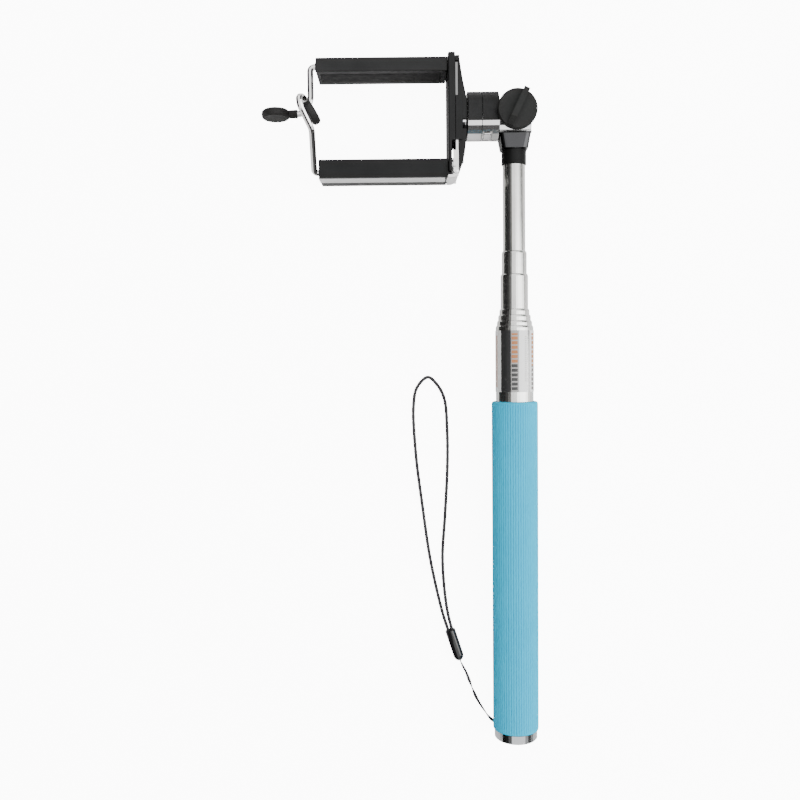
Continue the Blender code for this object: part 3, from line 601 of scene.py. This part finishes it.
def floor_material():
    m = Mat("mat_floor")
    m.color(m.mix(m.ramp(m.noise(3.0, 3.0), [(0.3, 0.0), (0.7, 1.0)]), (0.84, 0.84, 0.84), (0.86, 0.86, 0.86)))
    m.rough(0.9)
    m.b.inputs["Specular IOR Level"].default_value = 0.1
    # the table is over-lit, as on a light box
    glow = m.nt.nodes.new("ShaderNodeEmission")
    glow.inputs["Color"].default_value = (1.0, 1.0, 1.0, 1.0)
    glow.inputs["Strength"].default_value = FLOOR_GLOW
    path = m.nt.nodes.new("ShaderNodeLightPath")
    both = m.nt.nodes.new("ShaderNodeAddShader")
    pick = m.nt.nodes.new("ShaderNodeMixShader")
    out = m.nt.nodes["Material Output"]
    m.nt.links.new(m.b.outputs[0], both.inputs[0])
    m.nt.links.new(glow.outputs[0], both.inputs[1])
    m.nt.links.new(path.outputs["Is Camera Ray"], pick.inputs[0])
    m.nt.links.new(m.b.outputs[0], pick.inputs[1])
    m.nt.links.new(both.outputs[0], pick.inputs[2])
    m.nt.links.new(pick.outputs[0], out.inputs["Surface"])
    return m.m


fl = mesh_object("floor", [(-3, -3, -0.0002), (3, -3, -0.0002), (3, 3, -0.0002), (-3, 3, -0.0002)], [(0, 1, 2, 3)], floor_material(), False)

# a dark card just left of the tubes, seen only in their reflections
cardm = Mat("mat_card")
cardm.color((0.01, 0.01, 0.01))
cardm.rough(0.9)
card = mesh_object("dark_card", [(0.021, -0.158, 0.0), (0.021, 0.110, 0.0), (0.021, 0.110, 0.026), (0.021, -0.158, 0.026)],
                   [(0, 1, 2, 3)], cardm.m, False)
card.visible_camera = False
card.visible_diffuse = False
card.visible_shadow = False


def area(name, loc, target, sx, sy, power, color=(1, 1, 1)):
    d = bpy.data.lights.new(name, "AREA")
    d.shape = "RECTANGLE"
    d.size, d.size_y = sx, sy
    d.energy = power
    d.color = color
    o = bpy.data.objects.new(name, d)
    bpy.context.collection.objects.link(o)
    o.location = loc
    o.rotation_euler = (Vector(target) - Vector(loc)).to_track_quat("-Z", "Y").to_euler()
    return o


area("key_right", (0.85, -0.05, 0.80), (0, 0, 0), 0.6, 1.4, 9.0)
area("fill_right", (1.0, -0.1, 0.32), (0, 0, 0.02), 0.4, 1.4, 3.0)
area("fill_far", (0.0, 1.1, 0.75), (0, 0, 0), 1.0, 0.5, 3.0)

world = bpy.data.worlds.new("studio")
bpy.context.scene.world = world
world.use_nodes = True
wt = world.node_tree
bg = wt.nodes["Background"]
tc = wt.nodes.new("ShaderNodeTexCoord")
sep = wt.nodes.new("ShaderNodeSeparateXYZ")
wt.links.new(tc.outputs["Generated"], sep.inputs[0])


def world_ramp(fac, stops):
    r = wt.nodes.new("ShaderNodeValToRGB")
    wt.links.new(fac, r.inputs["Fac"])
    els = r.color_ramp.elements
    while len(els) < len(stops):
        els.new(0.5)
    for e, (pos, val) in zip(els, stops):
        e.position = pos
        e.color = (val, val, val, 1)
    return r.outputs["Color"]


# height: dark near the horizon, bright ring at 40 to 65 degrees, dim straight overhead
up = world_ramp(sep.outputs[2], ((0.0, 0.06), (0.50, 0.03), (0.66, 1.0), (0.90, 1.0), (1.0, 0.85)))
shift = wt.nodes.new("ShaderNodeMath")
shift.operation = "MULTIPLY_ADD"
wt.links.new(sep.outputs[0], shift.inputs[0])
shift.inputs[1].default_value = 0.5
shift.inputs[2].default_value = 0.5
side = world_ramp(shift.outputs[0], ((0.0, 0.08), (0.25, 0.08), (0.33, 1.0), (1.0, 1.0)))
prod = wt.nodes.new("ShaderNodeMix")
prod.data_type = "RGBA"
prod.blend_type = "MULTIPLY"
prod.inputs[0].default_value = 1.0
wt.links.new(up, prod.inputs[6])
wt.links.new(side, prod.inputs[7])
wt.links.new(prod.outputs[2], bg.inputs["Color"])
bg.inputs["Strength"].default_value = 2.3
pale = wt.nodes.new("ShaderNodeBackground")
pale.inputs["Color"].default_value = (1, 1, 1, 1)
pale.inputs["Strength"].default_value = 10.5
wpath = wt.nodes.new("ShaderNodeLightPath")
wmix = wt.nodes.new("ShaderNodeMixShader")
wt.links.new(wpath.outputs["Is Camera Ray"], wmix.inputs[0])
wt.links.new(bg.outputs[0], wmix.inputs[1])
wt.links.new(pale.outputs[0], wmix.inputs[2])
wt.links.new(wmix.outputs[0], wt.nodes["World Output"].inputs["Surface"])

# ================================================================ final update
bpy.context.view_layer.update()
